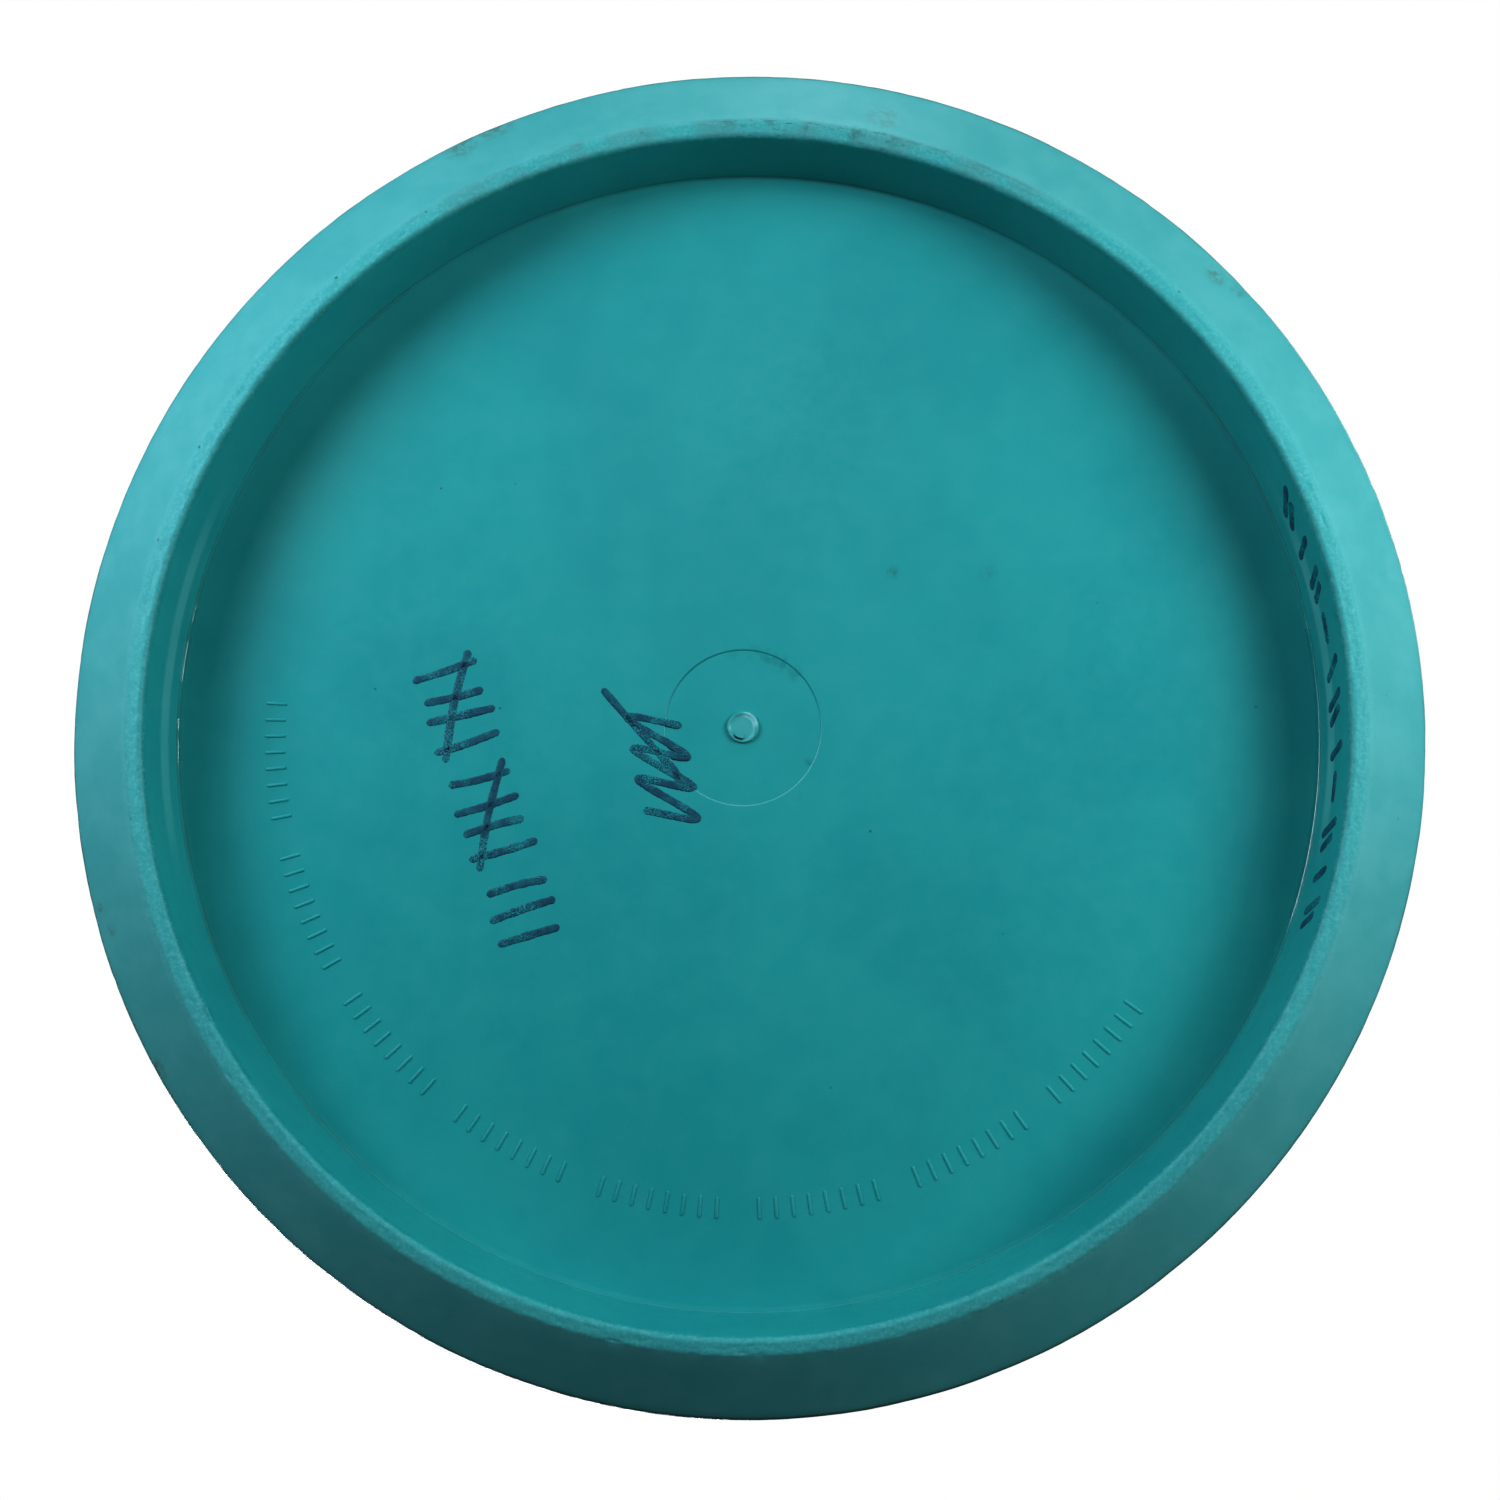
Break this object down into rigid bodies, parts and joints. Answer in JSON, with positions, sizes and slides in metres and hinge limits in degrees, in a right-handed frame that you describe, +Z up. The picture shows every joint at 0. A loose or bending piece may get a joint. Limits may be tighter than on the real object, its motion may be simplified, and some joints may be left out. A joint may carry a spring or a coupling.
{
  "type": "flying disc",
  "caption": "Golf-style flying disc: bevelled wing rim with a flat lip round a shallow domed flight plate, open underneath.",
  "frame": {"origin": "centre of the ring that the lip rests on", "axes": "+Z up through the top of the flight plate, along the disc's axis; X and Y across the disc, with the raised marks centred on the -Y side"},
  "size_m": [0.212, 0.212, 0.0182],
  "materials": {
    "disc_plastic": "satin, scuffed on the lip",
    "marker_ink": "dry ink"
  },
  "bodies": {
    "root": {"rim": "disc_plastic", "flight_plate": "disc_plastic", "gate_pad": "disc_plastic", "gate_stub": "disc_plastic", "raised_marks": "disc_plastic"}
  },
  "joints": []
}
